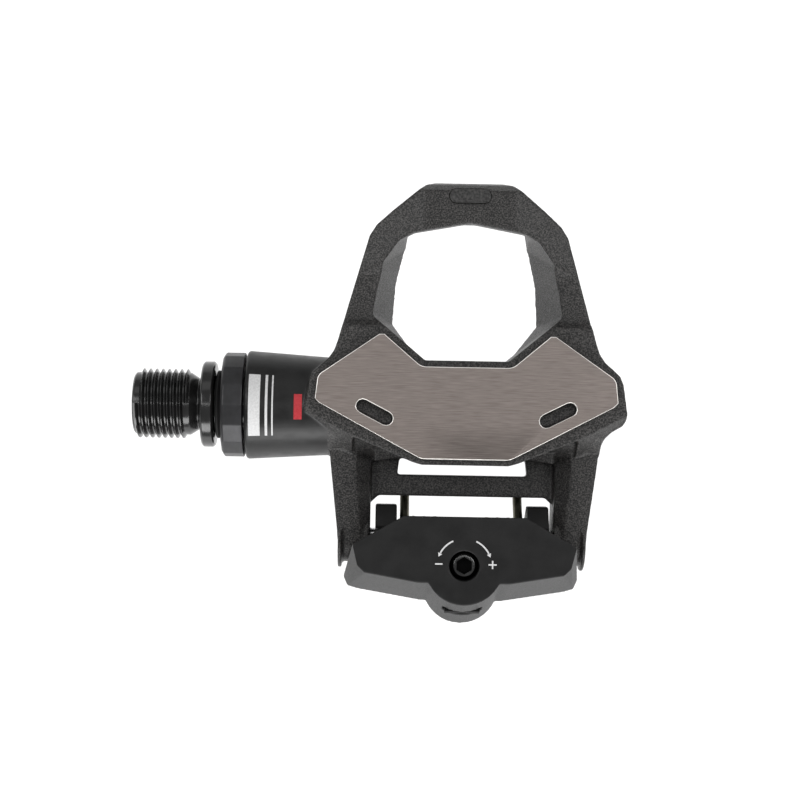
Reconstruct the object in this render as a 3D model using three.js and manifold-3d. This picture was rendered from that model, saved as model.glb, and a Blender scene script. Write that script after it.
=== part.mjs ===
// A right-hand clipless road pedal: a spindle on bearings, a moulded body with a
// steel wear plate, and a sprung rear jaw with a tension screw.
// Millimetres. +X runs outboard along the spindle, +Y to the nose, +Z up off the
// cleat platform. The origin is on the spindle's axis, at the crank face of its collar.

import * as THREE from "three";
import { mergeVertices } from "three/addons/utils/BufferGeometryUtils.js";
import { ConvexGeometry } from "three/addons/geometries/ConvexGeometry.js";
import Module from "manifold-3d";

// ---------------------------------------------------------------- driving dimensions

const GAP = 0.3;                   // clearance between pieces that touch
const PEDAL_CENTRE = 53;           // crank face to the middle of the pedal, along X

const THREAD_LENGTH = 13.8;        // 9/16 inch x 20 TPI crank thread
const THREAD_RADIUS = 7.05;
const UNDERCUT_LENGTH = 2.1;       // groove between the thread and the collar
const UNDERCUT_RADIUS = 6.1;       // at the thread, tapering to its deepest by the collar
const UNDERCUT_DEEPEST = 5.2;
const UNDERCUT_FILLET = 0.7;       // from the deepest place out to the crank face
const FACE_INNER = 6.15;
const KEY_ACROSS_FLATS = 8;        // hex socket in the crank end
const KEY_DEPTH = 8;
const COLLAR_LENGTH = 2.6;
const COLLAR_RADIUS = 8.7;
const SEAL_JOURNAL = 5.6;          // spindle radius under the lip seal
const NEEDLE_JOURNAL = 4.2;        // and under the needle bearing
const BALL_JOURNAL = 3.2;          // and under the ball bearings
const BALL_SHOULDER = 54;          // where the ball journal starts
const SPINDLE_END = 71.5;

const NECK_START = 9.0;            // the body's smooth round neck, at its crank end
const NECK_RADIUS = 11.0;          // at the crank end, and where it meets the body
const NECK_WAIST = 9.95;
const SLEEVE_END = 44;             // the threaded sleeve inside the body's bore
const SLEEVE_BORE = 6.6;
const LOCK_NUT_START = 4.2;
const LOCK_NUT_RADIUS = 10.6;
const LOCK_NUT_BORE = 7.4;
const LOCK_NUT_FACETS = 16;

const BORE = 8.0;                  // the body's bore for bearings and sleeve
const BORE_END = 74;
const BARREL = 10.0;               // outside of the body round the bore
const BARREL_END = 27.3;           // half of the body's length along the spindle

const PLATFORM_TOP = 10.7;         // the moulded platform under the plate
const PLATE_THICKNESS = 1.0;
const ARM_TOP = 9.4;               // top of the arms beside the window
const NOSE_TOP = 13.0;
const HOOK_UNDERSIDE = 8.8;        // underside of the nose bar that holds the cleat
const WINDOW_REAR = 9.5;

const PIN_Y = -26.5;               // the jaw's hinge pin
const PIN_Z = -3.0;
const PIN_RADIUS = 1.75;
const PIN_HALF_LENGTH = 24.1;
const KNUCKLE = 5.25;              // radius of the body's knuckles round the pin
const CHEEK = 6.4;                 // and of the thin cheeks outside the jaw
const CHEEK_INNER = 24.3;
const CHEEK_OUTER = 25.1;
const ARM_GAP = 18.6;              // half of the room between the rear arms
const SHOULDER_TOP = 5.2;          // top of the rear arms where they leave the platform
const DECK_TOP = -1.0;             // the crossbar ahead of the jaw
const DECK_BOTTOM = -3.5;
const DECK_REAR = -18.0;
const DECK_FRONT = -13.7;

const JAW_TOP = 15.0;
const JAW_BOTTOM = -1.0;
const JAW_FRONT = -20.9;           // the lip over the cleat
const JAW_WALL = -24.0;
const LIP_UNDERSIDE = 12.5;
const ROOM_HALF_WIDTH = 12.9;      // the hollow under the jaw, for springs and nut
const ROOM_TOP = 9.0;
const BULGE_RADIUS = 7.7;          // round bulge behind the tension screw
const SCREW_Y = -30.65;
const SCREW_HEAD = 2.6;
const HEAD_RECESS = 2.95;           // radius of the recess in the jaw round the head
const SCREW_SHANK = 1.8;
const SCREW_SEAT = 11.0;           // floor of the recess under the screw's head
const SCREW_TOP = 14.0;
const NUT_BOTTOM = 1.7;            // the tension nut, over the springs' rear legs
const NUT_TOP = 6.1;
const LUG_INNER = 13.2;            // the jaw's lugs on the pin, between the rear arms
const LUG_OUTER = 17.55;
const INDICATOR_HALF_WIDTH = 3.8;  // slot in the bulge's rear wall
const INDICATOR_LOW = 6.6;
const INDICATOR_HIGH = 9.2;

const WIRE = 0.95;                 // radius of the spring wire
const COIL = 3.4;                  // mean radius of a coil
const COIL_PITCH = 2.2;
const COIL_TURNS = 3;
const FRONT_LEG_X = 11.6;
const FRONT_LEG_Y = -18.8;         // where the front leg bends under the crossbar
const FRONT_LEG_Z = DECK_BOTTOM - WIRE - GAP;

const BALL = 1.1;
const BALL_COUNT = 8;
const BALL_CIRCLE = 5.35;
const BEARING_WIDTH = 5;
const NEEDLE = 0.5;
const NEEDLE_COUNT = 12;
const NEEDLE_CIRCLE = 5.0;
const NEEDLE_START = 16;
const NEEDLE_END = 30;

const FINE_SEGMENTS = 72;          // sides of the body's and the jaw's round parts
const SEGMENTS = 32;               // sides of the other round pieces that show
const INNER_SEGMENTS = 24;         // and of those inside

// ---------------------------------------------------------------- solids

const wasm = await Module();
wasm.setup();

// A closed three.js geometry as a solid that can be joined and cut.
function solid(geometry) {
  const bare = new THREE.BufferGeometry();
  bare.setAttribute("position", geometry.getAttribute("position"));
  bare.setIndex(geometry.getIndex());
  const merged = mergeVertices(bare, 1e-4);
  const position = merged.getAttribute("position");
  const index = merged.getIndex().array;
  const corners = [];
  let volume = 0;
  const a = new THREE.Vector3();
  const b = new THREE.Vector3();
  const c = new THREE.Vector3();
  for (let i = 0; i < index.length; i += 3) {
    const [p, q, r] = [index[i], index[i + 1], index[i + 2]];
    if (p === q || q === r || r === p) continue;
    corners.push([p, q, r]);
    a.fromBufferAttribute(position, p);
    b.fromBufferAttribute(position, q);
    c.fromBufferAttribute(position, r);
    volume += a.dot(b.cross(c));
  }
  const facing = volume < 0 ? corners.map(([p, q, r]) => [p, r, q]) : corners;
  return new wasm.Manifold(new wasm.Mesh({
    numProp: 3,
    vertProperties: new Float32Array(position.array),
    triVerts: new Uint32Array(facing.flat()),
  }));
}

// A solid back as a three.js geometry with flat faces.
function geometryOf(body) {
  const mesh = body.getMesh();
  const geometry = new THREE.BufferGeometry();
  geometry.setAttribute("position", new THREE.BufferAttribute(new Float32Array(mesh.vertProperties), 3));
  geometry.setIndex(new THREE.BufferAttribute(new Uint32Array(mesh.triVerts), 1));
  return geometry;
}

const join = (first, ...others) => others.reduce((sum, other) => sum.add(other), first);
const cut = (body, ...tools) => tools.reduce((rest, tool) => rest.subtract(tool), body);

// A shape from a list of [x, y] corners.
function shapeOf(points) {
  return new THREE.Shape(points.map(([x, y]) => new THREE.Vector2(x, y)));
}

// A plan outline raised from one height to another.
function slab(points, low, high) {
  const geometry = new THREE.ExtrudeGeometry(shapeOf(points), { depth: high - low, bevelEnabled: false });
  geometry.translate(0, 0, low);
  return solid(geometry);
}

// A side profile of [y, z] corners, run across in X.
const ACROSS = new THREE.Matrix4().makeBasis(
  new THREE.Vector3(0, 1, 0),
  new THREE.Vector3(0, 0, 1),
  new THREE.Vector3(1, 0, 0),
);

function bar(points, left, right) {
  const geometry = new THREE.ExtrudeGeometry(shapeOf(points), { depth: right - left, bevelEnabled: false });
  geometry.applyMatrix4(ACROSS);
  geometry.translate(left, 0, 0);
  return solid(geometry);
}

function box(x0, x1, y0, y1, z0, z1) {
  const geometry = new THREE.BoxGeometry(x1 - x0, y1 - y0, z1 - z0);
  geometry.translate((x0 + x1) / 2, (y0 + y1) / 2, (z0 + z1) / 2);
  return solid(geometry);
}

// A closed profile of [x, radius] corners, turned about the X axis.
function turned(profile, segments = INNER_SEGMENTS) {
  const points = profile.map(([x, radius]) => new THREE.Vector2(radius, x));
  if (profile[0][1] > 0) points.push(points[0].clone());
  const geometry = new THREE.LatheGeometry(points, segments);
  geometry.rotateZ(-Math.PI / 2);
  return solid(geometry);
}

// A round rod along X about (y, z).
function rodAlongX(radius, left, right, y, z, segments = INNER_SEGMENTS) {
  const geometry = new THREE.CylinderGeometry(radius, radius, right - left, segments);
  geometry.rotateZ(-Math.PI / 2);
  geometry.translate((left + right) / 2, y, z);
  return solid(geometry);
}

// A round rod along Z about (x, y).
function rodAlongZ(radius, low, high, x, y, segments = INNER_SEGMENTS) {
  const geometry = new THREE.CylinderGeometry(radius, radius, high - low, segments);
  geometry.rotateX(Math.PI / 2);
  geometry.translate(x, y, (low + high) / 2);
  return solid(geometry);
}

// The convex solid over a list of [x, y, z] corners.
function hull(corners) {
  return solid(new ConvexGeometry(corners.map(([x, y, z]) => new THREE.Vector3(x, y, z))));
}

// The convex solid over an outline at one height and another outline at a second height.
function taper(lower, low, upper, high) {
  return hull([...lower.map(([x, y]) => [x, y, low]), ...upper.map(([x, y]) => [x, y, high])]);
}

// A whole outline from its right half, listed from front to rear.
function bothSides(half) {
  return [...half, ...half.map(([x, y]) => [-x, y]).reverse()];
}

// Points on an arc, angles in degrees.
function arc(centreX, centreY, radius, from, to, steps) {
  return Array.from({ length: steps + 1 }, (_, i) => {
    const angle = THREE.MathUtils.degToRad(from + ((to - from) * i) / steps);
    return [centreX + radius * Math.cos(angle), centreY + radius * Math.sin(angle)];
  });
}

// A slot's outline: two half circles of one radius, a length apart, at a slant.
function obround(centreX, centreY, halfLength, radius, slant, steps = 6) {
  const turn = THREE.MathUtils.degToRad(slant);
  const ends = [...arc(halfLength, 0, radius, -90, 90, steps), ...arc(-halfLength, 0, radius, 90, 270, steps)];
  return ends.map(([x, y]) => [
    centreX + x * Math.cos(turn) - y * Math.sin(turn),
    centreY + x * Math.sin(turn) + y * Math.cos(turn),
  ]);
}

// ---------------------------------------------------------------- finishes

function finish(colour, roughness, metalness) {
  return new THREE.MeshStandardMaterial({ color: colour, roughness, metalness });
}

const composite = finish(0x2b2b2d, 0.62, 0);
const jawPlastic = finish(0x1a1a1c, 0.55, 0);
const insertPlastic = finish(0x202022, 0.4, 0);
const brushedSteel = finish(0x8b837f, 0.38, 1);
const blackSteel = finish(0x121214, 0.22, 0.9);
const blackAluminium = finish(0x161618, 0.4, 0.7);
const bearingSteel = finish(0xa8aaad, 0.2, 1);
const springSteel = finish(0x8a8462, 0.35, 1);
const cageBrass = finish(0xb08d4a, 0.4, 1);
const sealRubber = finish(0x0c0c0d, 0.8, 0);
const indicatorPlastic = finish(0xd8d8d4, 0.45, 0);

// ---------------------------------------------------------------- spindle and bearings

function spindle() {
  const shaft = turned([
    [-THREAD_LENGTH, 0],
    [-THREAD_LENGTH, THREAD_RADIUS - 0.9],
    [-THREAD_LENGTH + 0.7, THREAD_RADIUS],
    [-UNDERCUT_LENGTH - 0.3, THREAD_RADIUS],
    [-UNDERCUT_LENGTH, UNDERCUT_RADIUS],
    [-UNDERCUT_FILLET, UNDERCUT_DEEPEST],
    [-UNDERCUT_FILLET * 0.4, UNDERCUT_DEEPEST + 0.4],
    [0, FACE_INNER],
    [0, COLLAR_RADIUS - 0.4],
    [0.4, COLLAR_RADIUS],
    [COLLAR_LENGTH - 0.4, COLLAR_RADIUS],
    [COLLAR_LENGTH, COLLAR_RADIUS - 0.4],
    [COLLAR_LENGTH, SEAL_JOURNAL],
    [13, SEAL_JOURNAL],
    [13.8, NEEDLE_JOURNAL],
    [BALL_SHOULDER, NEEDLE_JOURNAL],
    [BALL_SHOULDER, BALL_JOURNAL],
    [SPINDLE_END - 0.6, BALL_JOURNAL],
    [SPINDLE_END, BALL_JOURNAL - 0.6],
    [SPINDLE_END, 0],
  ], SEGMENTS);
  const key = new THREE.CylinderGeometry(KEY_ACROSS_FLATS / Math.sqrt(3), KEY_ACROSS_FLATS / Math.sqrt(3),
    KEY_DEPTH + 1, 6);
  key.rotateZ(-Math.PI / 2);
  key.translate(-THREAD_LENGTH + (KEY_DEPTH - 1) / 2, 0, 0);
  return cut(shaft, solid(key));
}

// A ring of a ball bearing, grooved for the balls on its inner or outer side.
function ballRing(start, plainRadius, grooveSide) {
  const middle = start + BEARING_WIDTH / 2;
  const outward = grooveSide > plainRadius ? 1 : -1;
  const reach = Math.asin(Math.abs(BALL_CIRCLE - grooveSide) / (BALL + GAP));
  const degrees = THREE.MathUtils.radToDeg(reach);
  const groove = outward > 0
    ? arc(middle, BALL_CIRCLE, BALL + GAP, -180 + degrees, -degrees, 6)
    : arc(middle, BALL_CIRCLE, BALL + GAP, 180 - degrees, degrees, 6);
  return turned([
    [start, plainRadius],
    [start, grooveSide],
    ...groove,
    [start + BEARING_WIDTH, grooveSide],
    [start + BEARING_WIDTH, plainRadius],
  ]);
}

// A thin cage ring with its balls in it.
function ballCage(start) {
  const middle = start + BEARING_WIDTH / 2;
  const ring = turned([
    [middle - 0.5, BALL_CIRCLE - 0.45],
    [middle - 0.5, BALL_CIRCLE + 0.45],
    [middle + 0.5, BALL_CIRCLE + 0.45],
    [middle + 0.5, BALL_CIRCLE - 0.45],
  ]);
  const balls = Array.from({ length: BALL_COUNT }, (_, i) => {
    const angle = (2 * Math.PI * i) / BALL_COUNT;
    const geometry = new THREE.SphereGeometry(BALL, 8, 6);
    geometry.translate(middle, BALL_CIRCLE * Math.cos(angle), BALL_CIRCLE * Math.sin(angle));
    return solid(geometry);
  });
  return join(ring, ...balls);
}

// The needle rollers held by a ring at each end.
function needleCage() {
  const ends = [NEEDLE_START + 0.4, NEEDLE_END - 1.4].map((start) => turned([
    [start, NEEDLE_CIRCLE - 0.4],
    [start, NEEDLE_CIRCLE + 0.4],
    [start + 1, NEEDLE_CIRCLE + 0.4],
    [start + 1, NEEDLE_CIRCLE - 0.4],
  ]));
  const needles = Array.from({ length: NEEDLE_COUNT }, (_, i) => {
    const angle = (2 * Math.PI * (i + 0.5)) / NEEDLE_COUNT;
    const y = NEEDLE_CIRCLE * Math.cos(angle);
    const z = NEEDLE_CIRCLE * Math.sin(angle);
    return rodAlongX(NEEDLE, NEEDLE_START + 0.8, NEEDLE_END - 0.8, y, z, 6);
  });
  return join(ends[0], ends[1], ...needles);
}

function needleCup() {
  return turned([
    [NEEDLE_START, 5.8],
    [NEEDLE_START, 6.3],
    [NEEDLE_END, 6.3],
    [NEEDLE_END, 5.8],
  ]);
}

function endNut(start) {
  const geometry = new THREE.CylinderGeometry(5.2, 5.2, 4, 6);
  geometry.rotateZ(-Math.PI / 2);
  geometry.translate(start + 2, 0, 0);
  return cut(solid(geometry), rodAlongX(BALL_JOURNAL + GAP, start - 1, start + 5, 0, 0));
}

function endWasher(start) {
  return turned([
    [start, BALL_JOURNAL + GAP],
    [start, 4.9],
    [start + 1, 4.9],
    [start + 1, BALL_JOURNAL + GAP],
  ]);
}

// ---------------------------------------------------------------- sleeve, lock nut, seal

function axleSleeve() {
  return turned([
    [NECK_START, SLEEVE_BORE],
    [NECK_START, BORE - GAP],
    [SLEEVE_END, BORE - GAP],
    [SLEEVE_END, SLEEVE_BORE],
  ]);
}

// The faceted ring that a wrench turns to draw the spindle out.
function lockNut() {
  const end = NECK_START - 0.4;
  return turned([
    [LOCK_NUT_START, LOCK_NUT_BORE],
    [LOCK_NUT_START, LOCK_NUT_RADIUS - 0.6],
    [LOCK_NUT_START + 0.5, LOCK_NUT_RADIUS],
    [end, LOCK_NUT_RADIUS],
    [end, LOCK_NUT_BORE],
  ], LOCK_NUT_FACETS);
}

function lipSeal() {
  return turned([
    [COLLAR_LENGTH + GAP, 6.9],
    [3.9, 6.5],
    [4.6, 7.1],
    [8.4, 7.1],
    [8.4, SEAL_JOURNAL + GAP],
    [COLLAR_LENGTH + GAP, SEAL_JOURNAL + GAP],
  ]);
}

// ---------------------------------------------------------------- body

// Right half of the body's outer edge, from the nose back to the arm's end,
// and on round the jaw's room to the crossbar.
const OUTER_EDGE = [
  [6.85, 44.9],
  [8.7, 44.15],
  [11.4, 42.0],
  [15.0, 39.1],
  [18.3, 36.2],
  [19.7, 34.0],
  [20.1, 32.6],
  [23.7, 20.1],
  [25.6, 13.2],
  [26.3, 11.2],
  [27.4, 9.6],
  [29.0, 8.2],
  [30.4, 6.9],
  [31.1, 5.2],
  [32.0, -1.0],
  [31.9, -1.8],
  [31.3, -2.9],
  [29.2, -4.2],
  [27.9, -5.6],
  [27.3, -7.2],
  [27.0, -9.0],
  [25.3, -25.0],
  [25.1, -31.75],
];

const JAW_ROOM_EDGE = [
  [ARM_GAP, -31.75],
  [ARM_GAP, -19.5],
  [17.0, DECK_REAR],
];

// The window's edge at the top of the arms, and lower down where the walls slope in.
const WINDOW_TOP_EDGE = [
  [0.4, 36.45],
  [11.0, 34.5],
  [13.75, 33.0],
  [17.05, 28.5],
  [18.6, 22.7],
  [19.3, 18.7],
  [15.0, 15.4],
  [8.3, WINDOW_REAR],
];

const WINDOW_LOW_EDGE = [
  [8.5, 35.8],
  [10.2, 34.0],
  [12.2, 27.0],
  [13.4, 16.5],
  [8.3, WINDOW_REAR],
];

// Side profile of the body, [y, z], from the nose over the top and back underneath.
const SIDE_PROFILE = [
  [44.9, 1.0],
  [44.9, 7.5],
  [44.2, 10.8],
  [42.8, NOSE_TOP],
  [33.5, NOSE_TOP],
  [26.0, ARM_TOP + 0.2],
  [17.5, ARM_TOP],
  [16.2, PLATFORM_TOP],
  [-11.3, PLATFORM_TOP],
  [-11.9, SHOULDER_TOP],
  [-26.5, 2.25],
  [-31.75, 2.25],
  [-31.75, -8.25],
  [-24.0, -8.0],
  [-14.0, -6.6],
  [-9.5, -5.0],
  [9.5, -5.0],
  [20.0, -3.4],
  [40.0, -0.8],
];

// Corners of the space above a rear shoulder at one x: it slopes down from the
// platform's top at y slopeTop to the shoulder's top at y slopeFoot.
function shoulderCorners(x, slopeTop, slopeFoot) {
  return [
    [x, slopeTop, 16],
    [x, slopeTop, PLATFORM_TOP],
    [x, slopeFoot, SHOULDER_TOP],
    [x, -34, SHOULDER_TOP],
    [x, -34, 16],
  ];
}

// Outline of the slot in one wing of the wear plate, and of the recess below it.
const plateSlot = (side) => obround(side * 18.1, -0.95, 2.6, 1.35, side * 27);

// Outline of the recess in the nose bar, and of the insert that fills it.
const noseSlot = (radius) => obround(0, 41.8, 2.75, radius, 0);
const NOSE_SLOT_RADIUS = 1.4;
const NOSE_SLOT_FLOOR = NOSE_TOP - 1.2;

function bodyFrame() {
  const block = slab(bothSides([...OUTER_EDGE, ...JAW_ROOM_EDGE]), -12, 16)
    .intersect(bar(SIDE_PROFILE, -34, 34));
  const barrel = rodAlongX(BARREL, -BARREL_END, BARREL_END, 0, 0, FINE_SEGMENTS)
    .intersect(box(-34, 34, -12, WINDOW_REAR, -12, PLATFORM_TOP));
  const neckStart = NECK_START - PEDAL_CENTRE;
  const neck = turned([
    [neckStart, 0],
    [neckStart, NECK_RADIUS - 0.4],
    [neckStart + 0.4, NECK_RADIUS],
    [-BARREL_END, NECK_WAIST],
    [-BARREL_END + 2, NECK_WAIST],
    [-BARREL_END + 2, 0],
  ], FINE_SEGMENTS);
  const knuckles = [-1, 1].map((side) => {
    const edges = [side * ARM_GAP, side * CHEEK_OUTER].sort((a, b) => a - b);
    return rodAlongX(KNUCKLE, edges[0], edges[1], PIN_Y, PIN_Z, FINE_SEGMENTS);
  });
  const cheeks = [-1, 1].map((side) => {
    const edges = [side * CHEEK_INNER, side * CHEEK_OUTER].sort((a, b) => a - b);
    return rodAlongX(CHEEK, edges[0], edges[1], PIN_Y, PIN_Z, FINE_SEGMENTS);
  });

  const window = join(
    taper(bothSides(WINDOW_LOW_EDGE), -8, bothSides(WINDOW_TOP_EDGE), PLATFORM_TOP),
    slab(bothSides(WINDOW_TOP_EDGE), PLATFORM_TOP - 0.5, 16),
  );
  const cleatPocket = slab(bothSides([[9.0, 40.3], [11.4, 38.0], [12.3, 33.0], [12.3, 27.0]]),
    -8, HOOK_UNDERSIDE);
  const behindPlate = slab(bothSides([[9.2, -11.2], [22.3, -5.8], [22.3, -34]]), SHOULDER_TOP, 16);
  const behindPin = box(-34, 34, -34, PIN_Y, -12, 16);
  const shoulders = [-1, 1].map((side) => hull([
    ...shoulderCorners(side * 22.3, -5.8, -9.6),
    ...shoulderCorners(side * 34, 0.4, -6),
  ]));
  const armChamfers = [-1, 1].map((side) => hull([
    [side * 21.9, -7, SHOULDER_TOP + 0.6],
    [side * 18.0, -7, 1.6],
    [side * 18.0, -7, 9],
    [side * 21.9, -7, 9],
    [side * 20.4, -26, 2.4],
    [side * 18.0, -26, -0.2],
    [side * 18.0, -26, 9],
    [side * 20.4, -26, 9],
  ]));
  const aboveDeck = slab(bothSides([[8.3, -11.3], [12.5, -10.1], [ARM_GAP, -10.9], [ARM_GAP, -20]]),
    DECK_TOP, 16);
  const belowDeck = box(-ARM_GAP, ARM_GAP, -20, -10.2, -12, DECK_BOTTOM);
  const deckSlot = slab(bothSides([[12.85, -10.4], [13.25, DECK_FRONT]]), -12, 4);
  const bore = rodAlongX(BORE, -50, BORE_END - PEDAL_CENTRE, 0, 0);
  const pinHole = rodAlongX(PIN_RADIUS + GAP, -30, 30, PIN_Y, PIN_Z);
  const noseFacets = [-1, 1].map((side) => hull([
    [side * 9.8, 20, NOSE_TOP],
    [side * 8.6, 46, NOSE_TOP],
    [side * 24, 20, ARM_TOP],
    [side * 24, 46, ARM_TOP - 0.7],
    [side * 9.8, 20, 16],
    [side * 8.6, 46, 16],
    [side * 24, 20, 16],
    [side * 24, 46, 16],
  ]));
  const wingUndersides = [-1, 1].map((side) => {
    const corners = [[side * 26.9, -12], [side * 26.9, -2.5], [side * 33, 5.6], [side * 40, 5.6], [side * 40, -12]];
    const geometry = new THREE.ExtrudeGeometry(shapeOf(corners), { depth: 20, bevelEnabled: false });
    geometry.rotateX(Math.PI / 2);
    geometry.translate(0, 13.5, 0);
    return solid(geometry);
  });
  const slots = [-1, 1].map((side) => slab(plateSlot(side), PLATFORM_TOP - 0.8, 16));
  const noseRecess = slab(noseSlot(NOSE_SLOT_RADIUS), NOSE_SLOT_FLOOR, 16);

  const arms = cut(block, window, cleatPocket, behindPlate, behindPin, ...shoulders, ...armChamfers,
    ...noseFacets, aboveDeck, belowDeck, ...wingUndersides);
  return cut(join(arms, barrel, neck, ...knuckles, ...cheeks), deckSlot, bore, pinHole, ...slots, noseRecess);
}

// The steel plate that the cleat slides on.
function wearPlate() {
  const edge = bothSides([
    [9.0, 8.2],
    [15.85, 14.0],
    [16.4, 14.5],
    [17.4, 14.5],
    [29.4, 6.2],
    [29.9, 1.6],
    [29.1, 0.8],
    [8.66, -10.05],
  ]);
  const base = PLATFORM_TOP + GAP;
  const plate = slab(edge, base, base + PLATE_THICKNESS);
  const slots = [-1, 1].map((side) => slab(plateSlot(side), 8, 16));
  return cut(plate, ...slots);
}

function noseInsert() {
  return slab(noseSlot(NOSE_SLOT_RADIUS - GAP), NOSE_SLOT_FLOOR + GAP, NOSE_TOP);
}

function jawPin() {
  return rodAlongX(PIN_RADIUS, -PIN_HALF_LENGTH, PIN_HALF_LENGTH, PIN_Y, PIN_Z);
}

// ---------------------------------------------------------------- springs

// A torsion spring's wire: the front leg under the crossbar, the coil round the
// pin, and the rear leg under the tension nut. side is 1 or -1.
function torsionSpring(side) {
  const toBend = Math.hypot(FRONT_LEG_Y - PIN_Y, FRONT_LEG_Z - PIN_Z);
  const bendAngle = Math.atan2(FRONT_LEG_Z - PIN_Z, FRONT_LEG_Y - PIN_Y);
  const start = bendAngle + Math.acos(COIL / toBend);
  const end = Math.PI / 2 + 2 * Math.PI * COIL_TURNS;
  const points = [
    new THREE.Vector3(side * FRONT_LEG_X, DECK_FRONT - 0.6, FRONT_LEG_Z),
    new THREE.Vector3(side * FRONT_LEG_X, FRONT_LEG_Y + 1.2, FRONT_LEG_Z),
  ];
  const steps = 12 * COIL_TURNS;
  for (let i = 0; i <= steps; i += 1) {
    const angle = start + ((end - start) * i) / steps;
    const x = FRONT_LEG_X - (COIL_PITCH * (angle - start)) / (2 * Math.PI);
    points.push(new THREE.Vector3(side * x, PIN_Y + COIL * Math.cos(angle), PIN_Z + COIL * Math.sin(angle)));
  }
  const last = points[points.length - 1];
  points.push(new THREE.Vector3(last.x, SCREW_Y - 1.9, last.z));
  const wire = new THREE.CatmullRomCurve3(points, false, "centripetal");
  const section = shapeOf(arc(0, 0, WIRE, 0, 315, 7));
  const geometry = new THREE.ExtrudeGeometry(section, { steps: 62, extrudePath: wire, bevelEnabled: false });
  return solid(geometry);
}

// ---------------------------------------------------------------- rear jaw

const JAW_TOP_EDGE = [
  [11.8, JAW_FRONT],
  [13.3, -21.9],
  [21.9, -26.7],
  [20.9, -30.8],
  [19.45, -32.2],
  [8.9, -34.0],
];

const JAW_SKIRT_EDGE = [
  [22.6, -30.0],
  [23.9, -34.7],
  [23.1, -36.5],
  [21.2, -37.1],
  [8.3, -39.25],
];

const BULGE_TOP_Y = -30.6;
const BULGE_BOTTOM_Y = -36.15;

function jawBody() {
  const block = taper(bothSides(JAW_SKIRT_EDGE), JAW_BOTTOM, bothSides(JAW_TOP_EDGE), JAW_TOP);
  const bulge = taper(
    arc(0, BULGE_BOTTOM_Y, BULGE_RADIUS, 0, 350, 35), JAW_BOTTOM,
    arc(0, BULGE_TOP_Y, BULGE_RADIUS, 0, 350, 35), JAW_TOP,
  );
  const lugs = [-1, 1].map((side) => {
    const edges = [side * LUG_INNER, side * LUG_OUTER].sort((a, b) => a - b);
    const profile = [
      [-24.2, 11],
      [-24.2, 4.2],
      [-19.7, 1.6],
      [-19.7, -1.8],
      ...arc(PIN_Y, PIN_Z, 5, -25, -155, 12),
      [-33.0, 2.0],
      [-33.0, 11],
    ];
    return bar(profile, edges[0], edges[1]);
  });
  const behindCleat = box(-26, 26, JAW_WALL, -10, -12, LIP_UNDERSIDE);
  const room = bar([
    [-25.2, ROOM_TOP],
    [-25.2, 3.2],
    [-18, 3.2],
    [-18, -12],
    [-35, -12],
    [-35, -1],
    [-33.6, ROOM_TOP],
  ], -ROOM_HALF_WIDTH, ROOM_HALF_WIDTH);
  const flagRoom = bar([
    [-33, 9.7],
    [-37.0, 9.7],
    [-40.4, -1.2],
    [-40.4, -3],
    [-33, -3],
  ], -4.6, 4.6);
  const armRooms = [-1, 1].map((side) => {
    const edges = [side * (ARM_GAP - 0.6), side * 30].sort((a, b) => a - b);
    const outline = [
      [-10, 3.6],
      [-10, -12],
      [PIN_Y, -12],
      ...arc(PIN_Y, PIN_Z, KNUCKLE + 0.45, 270, 90, 24).slice(1),
      [PIN_Y, 3.6],
    ];
    return bar(outline, edges[0], edges[1]);
  });
  const screwHole = rodAlongZ(2.2, 5, 12, 0, SCREW_Y);
  const headRecess = rodAlongZ(HEAD_RECESS, SCREW_SEAT, 18, 0, SCREW_Y);
  const indicatorSlot = box(-INDICATOR_HALF_WIDTH, INDICATOR_HALF_WIDTH, -46, -36,
    INDICATOR_LOW, INDICATOR_HIGH);

  const shell = cut(join(block, bulge), behindCleat, armRooms[0], armRooms[1]);
  return cut(join(shell, ...lugs), room, flagRoom, screwHole, headRecess, indicatorSlot,
    rodAlongX(PIN_RADIUS + GAP, -30, 30, PIN_Y, PIN_Z));
}

// The screw that moves the tension nut, with a 3 mm hex socket.
function tensionScrew() {
  const profile = [
    [0, -0.6],
    [SCREW_SHANK - 0.4, -0.6],
    [SCREW_SHANK, -0.2],
    [SCREW_SHANK, SCREW_SEAT + GAP],
    [SCREW_HEAD, SCREW_SEAT + GAP],
    [SCREW_HEAD, SCREW_TOP - 0.3],
    [SCREW_HEAD - 0.3, SCREW_TOP],
    [0, SCREW_TOP],
  ];
  const geometry = new THREE.LatheGeometry(profile.map(([r, z]) => new THREE.Vector2(r, z)), INNER_SEGMENTS);
  geometry.rotateX(Math.PI / 2);
  geometry.translate(0, SCREW_Y, 0);
  const key = rodAlongZ(3 / Math.sqrt(3), SCREW_TOP - 2.2, SCREW_TOP + 1, 0, SCREW_Y, 6);
  return cut(solid(geometry), key);
}

function tensionNut() {
  const plate = slab(bothSides([[8.4, -27.6], [9.4, -28.6], [9.4, -32.4], [8.4, -33.4]]),
    NUT_BOTTOM, NUT_TOP);
  return cut(plate, rodAlongZ(SCREW_SHANK + GAP, 0, 8, 0, SCREW_Y));
}

function tensionFlag() {
  return box(-2.9, 2.9, -36.6, -33.4 - GAP, 4.2, 6.9);
}

function indicatorWindow() {
  const low = INDICATOR_LOW + GAP;
  const high = INDICATOR_HIGH - GAP;
  const outline = [[-37.6, low], [-40.0, low], [-39.5, high], [-37.6, high]];
  return bar(outline, -INDICATOR_HALF_WIDTH + GAP, INDICATOR_HALF_WIDTH - GAP);
}

// ---------------------------------------------------------------- the pedal

function piece(name, body, material) {
  const mesh = new THREE.Mesh(geometryOf(body), material);
  mesh.name = name;
  return mesh;
}

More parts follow.
